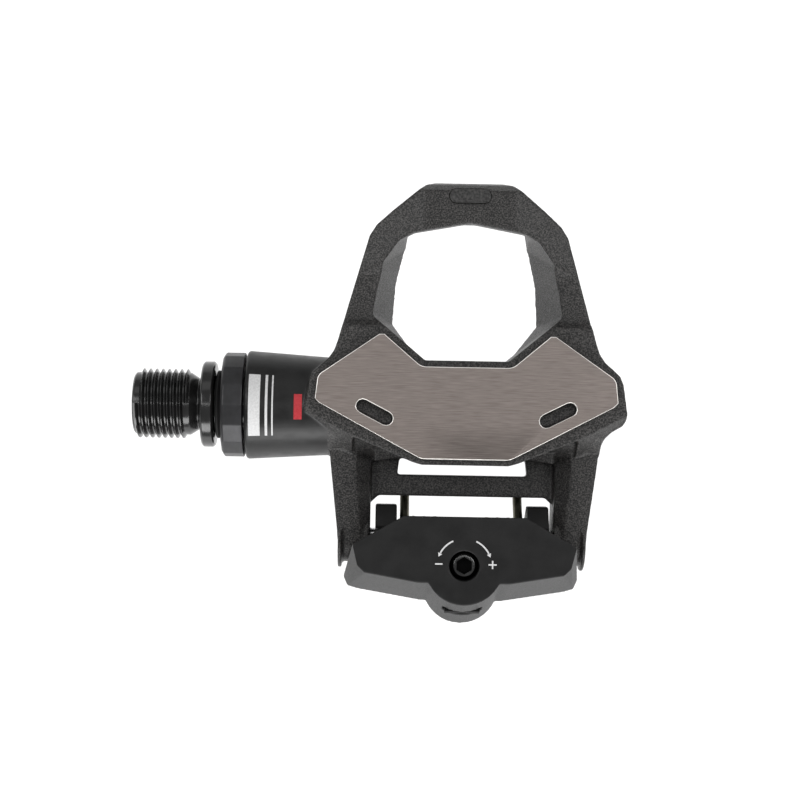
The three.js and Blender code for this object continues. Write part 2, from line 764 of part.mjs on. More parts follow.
const [firstRow, secondRow] = [BALL_SHOULDER + GAP, BALL_SHOULDER + BEARING_WIDTH + 2 * GAP];
const washerStart = secondRow + BEARING_WIDTH + GAP;
const innerPlain = BALL_JOURNAL + GAP;
const outerPlain = BORE - GAP;

const axle = new THREE.Group();
axle.add(
  piece("spindle", spindle(), blackSteel),
  piece("inner_ring_a", ballRing(firstRow, innerPlain, 4.5), bearingSteel),
  piece("inner_ring_b", ballRing(secondRow, innerPlain, 4.5), bearingSteel),
  piece("end_washer", endWasher(washerStart), bearingSteel),
  piece("end_nut", endNut(washerStart + 1 + GAP), bearingSteel),
  piece("needle_cage", needleCage(), bearingSteel),
  piece("ball_cage_a", ballCage(firstRow), cageBrass),
  piece("ball_cage_b", ballCage(secondRow), cageBrass),
  piece("needle_cup", needleCup(), bearingSteel),
  piece("outer_ring_a", ballRing(firstRow, outerPlain, 6.2), bearingSteel),
  piece("outer_ring_b", ballRing(secondRow, outerPlain, 6.2), bearingSteel),
  piece("lip_seal", lipSeal(), sealRubber),
  piece("lock_nut", lockNut(), blackAluminium),
  piece("axle_sleeve", axleSleeve(), blackAluminium),
);

const platform = new THREE.Group();
platform.position.x = PEDAL_CENTRE;
platform.add(
  piece("body_frame", bodyFrame(), composite),
  piece("wear_plate", wearPlate(), brushedSteel),
  piece("nose_insert", noseInsert(), insertPlastic),
  piece("jaw_pin", jawPin(), bearingSteel),
  piece("spring_inboard", torsionSpring(-1), springSteel),
  piece("spring_outboard", torsionSpring(1), springSteel),
);

const jaw = new THREE.Group();
jaw.position.x = PEDAL_CENTRE;
jaw.add(
  piece("jaw_body", jawBody(), jawPlastic),
  piece("tension_screw", tensionScrew(), blackSteel),
  piece("tension_nut", tensionNut(), bearingSteel),
  piece("tension_flag", tensionFlag(), indicatorPlastic),
  piece("indicator_window", indicatorWindow(), insertPlastic),
);

const pedal = new THREE.Group();
pedal.add(axle, platform, jaw);

export default pedal;
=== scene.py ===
# %% [markdown]
# A clipless road pedal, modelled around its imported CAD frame.
# The CAD holds every size and every axis. Here each part gets its finish and its fine
# shape: moulded edges, a cut thread, wound springs, brushed steel.

# %% Load the frame
from math import acos, atan2, cos, hypot, pi, radians, sin

import bmesh
import bpy
from mathutils import Matrix, Vector


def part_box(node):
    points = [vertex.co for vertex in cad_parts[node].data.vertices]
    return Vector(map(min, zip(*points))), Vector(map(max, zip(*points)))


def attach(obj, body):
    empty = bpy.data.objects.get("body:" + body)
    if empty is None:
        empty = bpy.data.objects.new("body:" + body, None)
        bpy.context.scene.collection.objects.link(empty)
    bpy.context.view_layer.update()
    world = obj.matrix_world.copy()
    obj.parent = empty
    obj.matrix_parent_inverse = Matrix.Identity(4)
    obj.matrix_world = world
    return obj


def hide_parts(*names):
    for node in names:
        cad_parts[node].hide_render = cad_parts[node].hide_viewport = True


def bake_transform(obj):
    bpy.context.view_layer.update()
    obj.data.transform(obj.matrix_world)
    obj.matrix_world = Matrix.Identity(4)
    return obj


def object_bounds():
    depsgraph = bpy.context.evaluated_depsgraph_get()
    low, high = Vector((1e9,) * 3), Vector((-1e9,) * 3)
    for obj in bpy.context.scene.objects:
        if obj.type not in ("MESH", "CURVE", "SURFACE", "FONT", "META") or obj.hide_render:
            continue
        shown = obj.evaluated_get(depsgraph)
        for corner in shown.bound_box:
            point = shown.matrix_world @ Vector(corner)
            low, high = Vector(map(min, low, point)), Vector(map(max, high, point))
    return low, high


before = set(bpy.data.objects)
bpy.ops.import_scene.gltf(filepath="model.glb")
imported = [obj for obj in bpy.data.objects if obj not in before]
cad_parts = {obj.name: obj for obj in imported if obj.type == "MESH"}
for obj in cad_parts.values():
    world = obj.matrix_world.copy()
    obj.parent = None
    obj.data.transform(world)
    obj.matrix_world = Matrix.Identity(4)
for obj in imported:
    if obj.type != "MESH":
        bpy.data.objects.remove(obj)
cad_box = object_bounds()
MM = 0.001
PEDAL_CENTRE = 53                  # crank face to the middle of the pedal, in mm
print("CAD box, mm:", [[round(c / MM, 2) for c in corner] for corner in cad_box])

# %% [markdown]
# The camera comes first, because everything is judged through it. It looks straight down
# on the cleat plate from about a third of a metre, so tall parts spread outwards a little.
# A camera with no rotation already looks down, with +Y up; a hair of turn about Z sets the tilt.

# %% Camera
camera_data = bpy.data.cameras.new("camera")
camera_data.sensor_width = 36
camera_data.lens = 77.3
camera_data.shift_x = 0.0247
camera_data.clip_start = 0.01
camera = bpy.data.objects.new("camera", camera_data)
camera.location = (36.0 * MM, 1.46 * MM, 350 * MM)
camera.rotation_euler = (0, 0, radians(1.05))
bpy.context.scene.collection.objects.link(camera)
bpy.context.scene.camera = camera
print("camera height, mm:", round(camera.location.z / MM))

# %% [markdown]
# A studio sweep is a pale floor and big soft lamps. The strongest lamp stands behind the
# rear jaw, one stands off each side to light the sloping faces, a narrow strip overhead
# draws a bright line along the spindle, and the world fills the rest with white.
# Powers are in watts, and places and sizes in metres.

# %% Floor and lights
FLOOR_DROP = 60 * MM
FLOOR_HALF = 1.5
SIDE_POWER = 1.35


def area_light(name, place, aim, size, power):
    data = bpy.data.lights.new(name, "AREA")
    data.shape = "RECTANGLE"
    data.size, data.size_y = size
    data.energy = power
    lamp = bpy.data.objects.new(name, data)
    lamp.location = place
    lamp.rotation_euler = (Vector(aim) - Vector(place)).to_track_quat("-Z", "Y").to_euler()
    bpy.context.scene.collection.objects.link(lamp)
    return lamp


middle = (Vector(cad_box[0]) + Vector(cad_box[1])) / 2
area_light("rear softbox", (0.05, -0.50, 0.22), middle, (0.7, 0.25), 3.7)
area_light("front softbox", (-0.05, 0.55, 0.45), middle, (0.6, 0.3), 0.4)
area_light("crank softbox", (-0.34, 0.14, 0.48), middle, (0.22, 0.4), SIDE_POWER)
area_light("outboard softbox", (0.46, 0.14, 0.48), middle, (0.22, 0.4), SIDE_POWER)
area_light("overhead strip", (0.036, 0.0, 0.62), (0.036, 0.0, 0.0), (0.6, 0.02), 0.28)

world = bpy.data.worlds.new("studio")
world.use_nodes = True
world.node_tree.nodes["Background"].inputs["Color"].default_value = (1, 1, 1, 1)
world.node_tree.nodes["Background"].inputs["Strength"].default_value = 0.42
bpy.context.scene.world = world
bpy.context.scene.view_settings.view_transform = "Standard"

floor_bm = bmesh.new()
bmesh.ops.create_grid(floor_bm, x_segments=1, y_segments=1, size=FLOOR_HALF)
bmesh.ops.translate(floor_bm, verts=floor_bm.verts, vec=(0, 0, cad_box[0][2] - FLOOR_DROP))
floor_mesh = bpy.data.meshes.new("floor")
floor_bm.to_mesh(floor_mesh)
floor = bpy.data.objects.new("floor", floor_mesh)
bpy.context.scene.collection.objects.link(floor)
print("floor height, mm:", round((cad_box[0][2] - FLOOR_DROP) / MM, 1))

# %% [markdown]
# Materials. Every finish is a Principled shader fed by a few noise textures in Object
# coordinates, so a pattern has its real size in millimetres on every part. The helpers
# below hold the three steps that repeat: a noise, a range for it, and a bump.

# %% Material helpers
def new_finish(name, metallic=0.0, specular=0.5):
    """A material with an empty Principled shader. What is the same all over is set here."""
    material = bpy.data.materials.new(name)
    material.use_nodes = True
    shader = material.node_tree.nodes["Principled BSDF"]
    shader.inputs["Metallic"].default_value = metallic
    shader.inputs["Specular IOR Level"].default_value = specular
    return material, material.node_tree, shader


def noise(tree, grain_mm, detail=3.0, stretch=(1, 1, 1)):
    """Noise whose blobs are about grain_mm across; stretch above 1 squeezes it along an axis."""
    place = tree.nodes.new("ShaderNodeTexCoord")
    mapping = tree.nodes.new("ShaderNodeMapping")
    texture = tree.nodes.new("ShaderNodeTexNoise")
    mapping.inputs["Scale"].default_value = stretch
    texture.inputs["Scale"].default_value = 1 / (grain_mm * MM)
    texture.inputs["Detail"].default_value = detail
    tree.links.new(place.outputs["Object"], mapping.inputs["Vector"])
    tree.links.new(mapping.outputs["Vector"], texture.inputs["Vector"])
    return texture.outputs["Fac"]


def spread(tree, value, low, high, start=0.35, end=0.65):
    """A value's range moved to low..high."""
    node = tree.nodes.new("ShaderNodeMapRange")
    node.inputs["From Min"].default_value = start
    node.inputs["From Max"].default_value = end
    node.inputs["To Min"].default_value = low
    node.inputs["To Max"].default_value = high
    tree.links.new(value, node.inputs["Value"])
    return node.outputs["Result"]


def two_tone(tree, value, dark, light):
    """A colour between dark and light, by a value."""
    node = tree.nodes.new("ShaderNodeMix")
    node.data_type = "RGBA"
    node.inputs["A"].default_value = (*dark, 1)
    node.inputs["B"].default_value = (*light, 1)
    tree.links.new(value, node.inputs["Factor"])
    return node.outputs["Result"]


def emboss(tree, shader, height, depth_mm, strength=1.0):
    """A bump of the given depth on the shader's normal."""
    node = tree.nodes.new("ShaderNodeBump")
    node.inputs["Distance"].default_value = depth_mm * MM
    node.inputs["Strength"].default_value = strength
    tree.links.new(height, node.inputs["Height"])
    if shader.inputs["Normal"].is_linked:
        tree.links.new(shader.inputs["Normal"].links[0].from_socket, node.inputs["Normal"])
    tree.links.new(node.outputs["Normal"], shader.inputs["Normal"])


# %% [markdown]
# The body is moulded from a fibre-filled plastic. Its tool is spark-eroded, which leaves a
# dull grain a few tenths of a millimetre across, with paler flecks where fibres lie near the skin.

# %% Moulded composite
def moulded_composite():
    material, tree, shader = new_finish("moulded_composite", specular=0.30)
    grain = noise(tree, 0.3, detail=2)
    flecks = spread(tree, noise(tree, 0.27, detail=1), 0, 1, start=0.40, end=0.72)
    colour = two_tone(tree, flecks, (0.005, 0.005, 0.005), (0.062, 0.059, 0.057))
    tree.links.new(colour, shader.inputs["Base Color"])
    tree.links.new(spread(tree, grain, 0.36, 0.56), shader.inputs["Roughness"])
    emboss(tree, shader, grain, 0.06)
    return material


# %% Smooth neck of the same moulding, and the jaw's finer plastic
def smooth_composite():
    material, tree, shader = new_finish("smooth_composite", specular=0.32)
    haze = noise(tree, 2.2, detail=4)
    colour = two_tone(tree, spread(tree, haze, 0, 1), (0.003, 0.003, 0.003), (0.006, 0.006, 0.006))
    tree.links.new(colour, shader.inputs["Base Color"])
    tree.links.new(spread(tree, haze, 0.34, 0.44), shader.inputs["Roughness"])
    emboss(tree, shader, noise(tree, 0.18), 0.008)
    return material


def jaw_plastic():
    material, tree, shader = new_finish("jaw_plastic", specular=0.22)
    grain = noise(tree, 0.2, detail=4)
    cloud = spread(tree, noise(tree, 4.0, detail=3), 0, 1)
    colour = two_tone(tree, cloud, (0.0035, 0.0035, 0.0036), (0.0075, 0.0075, 0.0076))
    tree.links.new(colour, shader.inputs["Base Color"])
    tree.links.new(spread(tree, grain, 0.42, 0.55), shader.inputs["Roughness"])
    emboss(tree, shader, grain, 0.015)
    return material


# %% [markdown]
# The wear plate is sheet steel brushed across the pedal. Brush lines are noise squeezed
# hard across one axis: here Y is squeezed, so the lines run along X. Anisotropy would need a
# tangent map to follow the lines, so bump and roughness carry the brushing instead. The
# bevelled edges take a second, near-white finish: a painted highlight, the thin bright line
# of light round the rim.

# %% Brushed plate and its painted edge highlight
def brushed_steel():
    material, tree, shader = new_finish("brushed_steel", metallic=1.0)
    lines = noise(tree, 3.0, detail=4, stretch=(0.8, 14, 14))
    fine = noise(tree, 1.6, detail=3, stretch=(0.8, 9, 9))
    cloud = spread(tree, noise(tree, 14.0, detail=2), 0, 1)
    base = two_tone(tree, spread(tree, lines, 0, 1, 0.3, 0.7),
                    (0.170, 0.146, 0.134), (0.247, 0.216, 0.200))
    tree.links.new(base, shader.inputs["Base Color"])
    tree.links.new(spread(tree, cloud, 0.34, 0.44, 0, 1), shader.inputs["Roughness"])
    emboss(tree, shader, fine, 0.006)
    emboss(tree, shader, lines, 0.008)
    return material


# Painted highlight: the rim's near-white colour stands in for light caught along the bevel. The noise named
# wear only speckles that highlight.
def painted_edge_highlight():
    material, tree, shader = new_finish("painted_edge_highlight", metallic=1.0)
    wear = noise(tree, 0.8, detail=4)
    colour = two_tone(tree, spread(tree, wear, 0, 1), (0.84, 0.81, 0.77), (0.96, 0.94, 0.91))
    tree.links.new(colour, shader.inputs["Base Color"])
    tree.links.new(spread(tree, wear, 0.42, 0.58), shader.inputs["Roughness"])
    return material


# %% [markdown]
# Metals inside and on the spindle: black coated steel, anodised aluminium, ground bearing
# steel, passivated spring wire and stamped brass. One function serves them all, with turning
# marks as fine noise squeezed along X, because each was made on a lathe about that axis.

# %% Turned and drawn metals
def turned_metal(name, dark, light, roughness, metallic=1.0, marks=(30, 1, 1), depth=0.004):
    material, tree, shader = new_finish(name, metallic=metallic)
    rings = noise(tree, 2.0, detail=5, stretch=marks)
    smudge = spread(tree, noise(tree, 3.0, detail=3), 0, 1)
    tree.links.new(two_tone(tree, smudge, dark, light), shader.inputs["Base Color"])
    tree.links.new(spread(tree, rings, *roughness), shader.inputs["Roughness"])
    emboss(tree, shader, rings, depth)
    return material


# %% Small plastics, rubber and ink
def plain_moulding(name, dark, light, roughness, grain_mm=0.5, depth=0.006, specular=0.3):
    material, tree, shader = new_finish(name, specular=specular)
    grain = noise(tree, grain_mm, detail=4)
    tree.links.new(two_tone(tree, spread(tree, grain, 0, 1), dark, light), shader.inputs["Base Color"])
    tree.links.new(spread(tree, grain, *roughness), shader.inputs["Roughness"])
    emboss(tree, shader, grain, depth)
    return material


COMPOSITE = moulded_composite()
SMOOTH = smooth_composite()
JAW = jaw_plastic()
PLATE = brushed_steel()
EDGE = painted_edge_highlight()
BLACK_STEEL = turned_metal("black_steel", (0.004, 0.004, 0.004), (0.009, 0.009, 0.009), (0.14, 0.22),
                           metallic=0.0)
SCREW_STEEL = turned_metal("screw_steel", (0.05, 0.05, 0.05), (0.10, 0.10, 0.10), (0.12, 0.22))
BLACK_ALUMINIUM = turned_metal("black_aluminium", (0.016, 0.016, 0.017), (0.026, 0.026, 0.028),
                               (0.34, 0.46), metallic=0.5)
BEARING_STEEL = turned_metal("bearing_steel", (0.44, 0.44, 0.45), (0.58, 0.58, 0.59), (0.14, 0.26))
SPRING_WIRE = turned_metal("spring_wire", (0.065, 0.062, 0.046), (0.130, 0.124, 0.095),
                           (0.28, 0.42), marks=(1, 8, 8))
CAGE_BRASS = turned_metal("cage_brass", (0.45, 0.28, 0.08), (0.58, 0.38, 0.12), (0.24, 0.36))
SEAL_RUBBER = plain_moulding("seal_rubber", (0.008, 0.008, 0.008), (0.014, 0.014, 0.014),
                             (0.6, 0.8))
INSERT = plain_moulding("insert_plastic", (0.010, 0.010, 0.010), (0.045, 0.044, 0.043),
                        (0.36, 0.56), 0.45, 0.05)
INDICATOR = plain_moulding("indicator_plastic", (0.62, 0.62, 0.58), (0.72, 0.72, 0.68),
                           (0.35, 0.5), 0.9)
# Near-black with almost no reflection: painted shade. It darkens the smoked indicator window to stand in for
# the shade inside its slot, and it darkens the screw's hex socket.
SLOT_SHADE = plain_moulding("smoked_window_and_painted_shade", (0.002, 0.002, 0.002), (0.005, 0.005, 0.005),
                            (0.5, 0.7), 0.4, specular=0.05)
WHITE_INK = plain_moulding("white_ink", (0.46, 0.46, 0.46), (0.56, 0.56, 0.56),
                           (0.45, 0.6), 0.3)
RED_INK = plain_moulding("red_ink", (0.30, 0.018, 0.024), (0.38, 0.026, 0.034),
                         (0.4, 0.55), 0.3)
PAPER = plain_moulding("studio_floor", (0.95, 0.95, 0.95), (0.98, 0.98, 0.98),
                       (0.7, 0.9), 30, 0.01)
floor_mesh.materials.append(PAPER)
print("finishes:", len(bpy.data.materials))


# %% [markdown]
# Mesh helpers. A bmesh is Blender's editable mesh. Each helper starts one from a circle,
# a few vertices or a CAD node's copy, and the bmesh operators shape it.

# %% Turning a bmesh into a finished piece
def keep(bm, name):
    """The bmesh as a plain object in the scene."""
    mesh = bpy.data.meshes.new(name)
    bm.to_mesh(mesh)
    bm.free()
    thing = bpy.data.objects.new(name, mesh)
    bpy.context.scene.collection.objects.link(thing)
    return thing


def settle(thing):
    """Applies a thing's modifiers to its mesh."""
    bpy.context.view_layer.update()
    graph = bpy.context.evaluated_depsgraph_get()
    mesh = bpy.data.meshes.new_from_object(thing.evaluated_get(graph))
    thing.modifiers.clear()
    thing.data = mesh
    return thing


def dress(thing, body, slot, *finishes, replaces=(), smooth=40):
    """Finishes a piece: its materials, smooth shading and the body it rides on. The slot argument is not used.
    """
    picked = [face.material_index for face in thing.data.polygons]
    thing.data.materials.clear()
    for material in finishes:
        thing.data.materials.append(material)
    for face, index in zip(thing.data.polygons, picked):
        face.material_index = min(index, len(finishes) - 1)
    thing.data.shade_smooth()
    if smooth < 180:
        thing.data.set_sharp_from_angle(angle=radians(smooth))
    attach(thing, body)
    if replaces:
        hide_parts(*replaces)
    print(thing.name, len(thing.data.polygons), "faces")
    return thing


def spun(profile, steps=96):
    """A closed solid from [x, radius] points in mm, turned about the spindle's axis."""
    bm = bmesh.new()
    verts = [bm.verts.new((x * MM, 0, radius * MM)) for x, radius in profile]
    edges = [bm.edges.new(pair) for pair in zip(verts, verts[1:])]
    if profile[0][1] > 0:
        edges.append(bm.edges.new((verts[-1], verts[0])))
    bmesh.ops.spin(bm, geom=verts + edges, cent=(0, 0, 0), axis=(1, 0, 0), dvec=(0, 0, 0),
                   angle=2 * pi, steps=steps, use_merge=True, use_duplicate=False)
    bmesh.ops.remove_doubles(bm, verts=bm.verts, dist=1e-7)
    bmesh.ops.recalc_face_normals(bm, faces=bm.faces)
    return bm


def eased(profile, radius, steps=3):
    """A profile in mm with its inner corners rounded off."""
    points = []
    for before, corner, after in zip(profile, profile[1:], profile[2:]):
        corner_v, to_before, to_after = Vector(corner), Vector(before), Vector(after)
        back = to_before - corner_v
        ahead = to_after - corner_v
        cut = min(radius, back.length * 0.45, ahead.length * 0.45)
        start = corner_v + back.normalized() * cut
        end = corner_v + ahead.normalized() * cut
        for i in range(steps + 1):
            t = i / steps
            points.append(tuple(start * (1 - t) ** 2 + corner_v * 2 * t * (1 - t) + end * t * t))
    return [profile[0], *points, profile[-1]]


def node_copy(node):
    """A bmesh copy of a CAD node, with its loose triangles joined up."""
    bm = bmesh.new()
    bm.from_mesh(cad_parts[node].data)
    bmesh.ops.remove_doubles(bm, verts=bm.verts, dist=1e-6)
    bmesh.ops.dissolve_limit(bm, angle_limit=radians(0.5), verts=bm.verts, edges=bm.edges)
    return bm


def soften(thing, width_mm, segments=3, angle=35, rim_material=-1):
    """Bevels a thing's sharp edges."""
    bevel = thing.modifiers.new("bevel", "BEVEL")
    bevel.width = width_mm * MM
    bevel.segments = segments
    bevel.limit_method = "ANGLE"
    bevel.angle_limit = radians(angle)
    bevel.material = rim_material
    bevel.use_clamp_overlap = True
    return settle(thing)


def carve(thing, bm, operation="DIFFERENCE"):
    """Cuts a closed bmesh out of a thing, or joins it on."""
    tool = keep(bm, "tool")
    boolean = thing.modifiers.new("boolean", "BOOLEAN")
    boolean.operation = operation
    boolean.solver = "EXACT"
    boolean.object = tool
    settle(thing)
    bpy.data.objects.remove(tool)
    return thing


def prism(sides, radius, low, high, axis="Z", centre=(0, 0), turn=0.0):
    """A straight prism in mm between two heights along an axis."""
    bm = bmesh.new()
    bmesh.ops.create_cone(bm, cap_ends=True, segments=sides, radius1=radius * MM, radius2=radius * MM,
                          depth=(high - low) * MM, matrix=Matrix.Rotation(turn, 4, "Z"))
    bmesh.ops.translate(bm, verts=bm.verts, vec=(0, 0, (low + high) / 2 * MM))
    if axis == "X":
        bmesh.ops.rotate(bm, verts=bm.verts, cent=(0, 0, 0), matrix=Matrix.Rotation(pi / 2, 3, "Y"))
        bmesh.ops.translate(bm, verts=bm.verts, vec=(0, centre[0] * MM, centre[1] * MM))
    else:
        bmesh.ops.translate(bm, verts=bm.verts, vec=(centre[0] * MM, centre[1] * MM, 0))
    return bm


def mm_box(node):
    """A CAD node's lowest and highest corners in mm."""
    low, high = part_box(node)
    return [c / MM for c in low], [c / MM for c in high]


# %% [markdown]
# Moulded parts. A moulded edge is never sharp. A voxel remesh turns the CAD copy into an
# even skin, smoothing rounds every edge and inner corner alike, as a tool's fillets do,
# and a decimate thins the flat areas again.

# %% Moulded skin helper
def moulded(thing, voxel_mm, passes, share):
    remesh = thing.modifiers.new("remesh", "REMESH")
    remesh.mode = "VOXEL"
    remesh.voxel_size = voxel_mm * MM
    settle(thing)
    smooth = thing.modifiers.new("smooth", "SMOOTH")
    smooth.factor = 0.5
    smooth.iterations = passes
    thin = thing.modifiers.new("thin", "DECIMATE")
    thin.ratio = share
    return settle(thing)


# %% [markdown]
# The body is one moulding, but its round neck was cut smooth while the rest kept the
# spark-eroded grain. So the neck's faces take the second material: those that lie on
# the neck's cone, from its crank end to where the body begins.

# %% Body frame
NECK_START, NECK_END = 9.0, 25.7
NECK_RADIUS, NECK_WAIST = 11.0, 9.95
BODY_START = PEDAL_CENTRE - 27.3
NECK_SKIN = 0.2                    # how far off the cone a face may lie and still be neck


def neck_radius(x):
    """Radius of the neck's cone at an x place, in mm."""
    return NECK_RADIUS + (NECK_WAIST - NECK_RADIUS) * (x - NECK_START) / (BODY_START - NECK_START)


body = moulded(keep(node_copy("body_frame"), "body_frame_moulded"), 0.28, 4, 0.4)
for face in body.data.polygons:
    x, y, z = face.center / MM
    on_neck = x < NECK_END and hypot(y, z) < neck_radius(x) + NECK_SKIN
    face.material_index = 1 if on_neck else 0
print("neck faces:", sum(face.material_index for face in body.data.polygons))
dress(body, "pedal_body", "composite", COMPOSITE, SMOOTH, replaces=["body_frame"], smooth=180)

# %% Rear jaw
INK = 0.06                          # the jaw's top is this much lower, for the printed marks
TOP_SKIN = 0.1
jaw = moulded(keep(node_copy("jaw_body"), "jaw_moulded"), 0.22, 6, 0.4)
jaw_top = mm_box("jaw_body")[1][2]
for vert in jaw.data.vertices:
    if vert.co.z > (jaw_top - TOP_SKIN) * MM:
        vert.co.z -= INK * MM
dress(jaw, "rear_jaw", "jaw_plastic", JAW, replaces=["jaw_body"], smooth=180)

# %% [markdown]
# The wear plate is stamped, so its long corners are rounded first, each side of the plate
# being a millimetre high. The bevel then gives the rim its own material, the painted edge
# highlight, which only works if the mesh already has a second slot to put it in.

# %% Wear plate
plate_bm = node_copy("wear_plate")
LONG_SIDE = 2.2 * MM * MM           # area of a side 2.2 mm long
CORNER_RADIUS, RIM = 0.9, 0.42
corners = [edge for edge in plate_bm.edges
           if edge.is_manifold and edge.calc_face_angle() > radians(20)
           and (edge.verts[0].co - edge.verts[1].co).xy.length < 0.01 * MM
           and all(face.calc_area() > LONG_SIDE for face in edge.link_faces)]
bmesh.ops.bevel(plate_bm, geom=corners, offset=CORNER_RADIUS * MM, segments=4, profile=0.5,
                affect="EDGES", material=-1)
print("rounded plate corners:", len(corners))
plate = keep(plate_bm, "wear_plate_brushed")
for finish in (PLATE, EDGE):
    plate.data.materials.append(finish)
soften(plate, RIM, segments=2, angle=50, rim_material=1)
dress(plate, "pedal_body", "brushed_plate", PLATE, EDGE, replaces=["wear_plate"], smooth=20)


# %% [markdown]
# The crank thread. Spinning a small ridge profile about the axis, with a step forward on
# each turn, gives a helix. Near both ends the ridge is held under a cone, as a real thread
# runs out into its chamfer.

# %% Thread helper
def thread_ridge(start, end, root, crest, pitch, steps=48):
    """A helical ridge between two x places, in mm."""
    bm = bmesh.new()
    half_root, half_crest = pitch * 0.47, pitch * 0.07
    section = [(-half_root, root - 0.15), (-half_crest, crest), (half_crest, crest), (half_root, root - 0.15)]
    verts = [bm.verts.new(((start + half_root + x) * MM, 0, r * MM)) for x, r in section]
    face = bm.faces.new(verts)
    turns = (end - start - 2 * half_root) / pitch
    bmesh.ops.spin(bm, geom=[face, *face.edges, *face.verts], cent=(0, 0, 0), axis=(1, 0, 0),
                   dvec=(pitch / steps * MM, 0, 0), angle=2 * pi * turns, steps=round(steps * turns),
                   use_merge=False, use_duplicate=False)
    for vert in bm.verts:
        x, r = vert.co.x / MM, hypot(vert.co.y, vert.co.z) / MM
        limit = root - 0.2 + min(x - start, end - x) * 2.2
        if r > limit:
            vert.co.y *= limit / r
            vert.co.z *= limit / r
    bmesh.ops.recalc_face_normals(bm, faces=bm.faces)
    return bm


# %% Spindle
thread_end, _ = mm_box("spindle")
THREAD_FREE, THREAD_STOP = thread_end[0], -2.25
THREAD_CREST, THREAD_ROOT, PITCH = 7.05, 6.3, 1.27
KEY_ACROSS_FLATS, KEY_DEPTH = 8, 8
spindle_profile = eased([
    (THREAD_FREE, 0), (THREAD_FREE, 5.9), (THREAD_FREE + 0.4, THREAD_ROOT), (-2.4, THREAD_ROOT),
    (-2.1, 6.1), (-0.7, 5.2), (-0.28, 5.6), (0, 6.15), (0, 8.3), (0.4, 8.7), (2.2, 8.7), (2.6, 8.3), (2.6, 5.6),
    (13, 5.6), (13.8, 4.2), (54, 4.2), (54, 3.2), (70.9, 3.2), (71.5, 2.6), (71.5, 0),
], 0.15)
spindle = keep(spun(spindle_profile), "spindle_turned")
carve(spindle, prism(6, KEY_ACROSS_FLATS / 3 ** 0.5, THREAD_FREE - 1,
                     THREAD_FREE + KEY_DEPTH, axis="X", turn=pi / 6))
ridge = keep(thread_ridge(THREAD_FREE + 0.2, THREAD_STOP, THREAD_ROOT, THREAD_CREST, PITCH), "ridge")
merged = bmesh.new()
merged.from_mesh(spindle.data)
merged.from_mesh(ridge.data)
bpy.data.objects.remove(ridge)
bpy.data.objects.remove(spindle)
spindle = keep(merged, "spindle_turned")
dress(spindle, "spindle", "black_steel", BLACK_STEEL, replaces=["spindle"], smooth=35)

# %% Lock nut and lip seal
lock_nut = soften(keep(node_copy("lock_nut"), "lock_nut_faceted"), 0.22, segments=2, angle=15)
dress(lock_nut, "pedal_body", "black_aluminium", BLACK_ALUMINIUM, replaces=["lock_nut"], smooth=15)
seal = keep(spun([(2.9, 5.9), (2.9, 6.7), (3.1, 6.9), (3.4, 6.9), (3.9, 6.5), (4.4, 6.5), (4.6, 7.1),
                  (8.4, 7.1), (8.4, 5.9)]), "lip_seal_rubber")
dress(seal, "pedal_body", "seal_rubber", SEAL_RUBBER, replaces=["lip_seal"], smooth=35)

# %% Jaw pin
pin_low, pin_high = mm_box("jaw_pin")
PIN_Y, PIN_Z = (pin_low[1] + pin_high[1]) / 2, (pin_low[2] + pin_high[2]) / 2
pin_bm = spun(eased([(pin_low[0], 0), (pin_low[0], 1.45), (pin_low[0] + 0.3, 1.75),
                     (pin_high[0] - 0.3, 1.75), (pin_high[0], 1.45), (pin_high[0], 0)], 0.1), steps=48)
bmesh.ops.translate(pin_bm, verts=pin_bm.verts, vec=(0, PIN_Y * MM, PIN_Z * MM))
pin = keep(pin_bm, "jaw_pin_ground")
dress(pin, "pedal_body", "bearing_steel", BEARING_STEEL, replaces=["jaw_pin"], smooth=35)

# %% [markdown]
# The torsion springs. A spring wire is one smooth path: a straight leg under the crossbar,
# three turns round the pin, and a straight leg under the tension nut. A curve with a round
# bevel follows that path and is then made a mesh.

# %% Torsion springs
COIL, COIL_PITCH, TURNS, WIRE = 3.4, 2.2, 3, 0.95
LEG_X, LEG_Y, LEG_Z = 11.6, -18.8, -4.75


def torsion_spring(name, side, node):
    reach = hypot(LEG_Y - PIN_Y, LEG_Z - PIN_Z)
    start = atan2(LEG_Z - PIN_Z, LEG_Y - PIN_Y) + acos(COIL / reach)
    end = pi / 2 + 2 * pi * TURNS
    points = [(LEG_X, -14.3, LEG_Z), (LEG_X, -16.2, LEG_Z), (LEG_X, LEG_Y + 0.6, LEG_Z + 0.02),
              (LEG_X, LEG_Y - 0.3, LEG_Z + 0.45)]
    steps = 28 * TURNS
    for i in range(steps + 1):
        angle = start + (end - start) * i / steps
        points.append((LEG_X - COIL_PITCH * (angle - start) / (2 * pi),
                       PIN_Y + COIL * cos(angle), PIN_Z + COIL * sin(angle)))
    points.append((points[-1][0], -29.5, points[-1][2]))
    points.append((points[-1][0], -32.5, points[-1][2]))
    curve = bpy.data.curves.new(name, "CURVE")
    curve.dimensions = "3D"
    curve.bevel_depth = WIRE * MM
    curve.bevel_resolution = 4
    curve.use_fill_caps = True
    spline = curve.splines.new("POLY")
    spline.points.add(len(points) - 1)
    for point, (x, y, z) in zip(spline.points, points):
        point.co = ((PEDAL_CENTRE + side * x) * MM, y * MM, z * MM, 1)
    wire = bpy.data.objects.new(name, curve)
    bpy.context.scene.collection.objects.link(wire)
    bpy.context.view_layer.update()
    graph = bpy.context.evaluated_depsgraph_get()
    mesh = bpy.data.meshes.new_from_object(wire.evaluated_get(graph))
    bpy.data.objects.remove(wire)
    spring = bpy.data.objects.new(name, mesh)
    bpy.context.scene.collection.objects.link(spring)
    mesh.materials.clear()
    mesh.materials.append(SPRING_WIRE)
    mesh.shade_smooth()
    mesh.set_sharp_from_angle(angle=radians(50))
    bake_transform(spring)
    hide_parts(node)
    print(name, len(mesh.polygons), "faces")


torsion_spring("spring_inboard_wound", -1, "spring_inboard")
torsion_spring("spring_outboard_wound", 1, "spring_outboard")

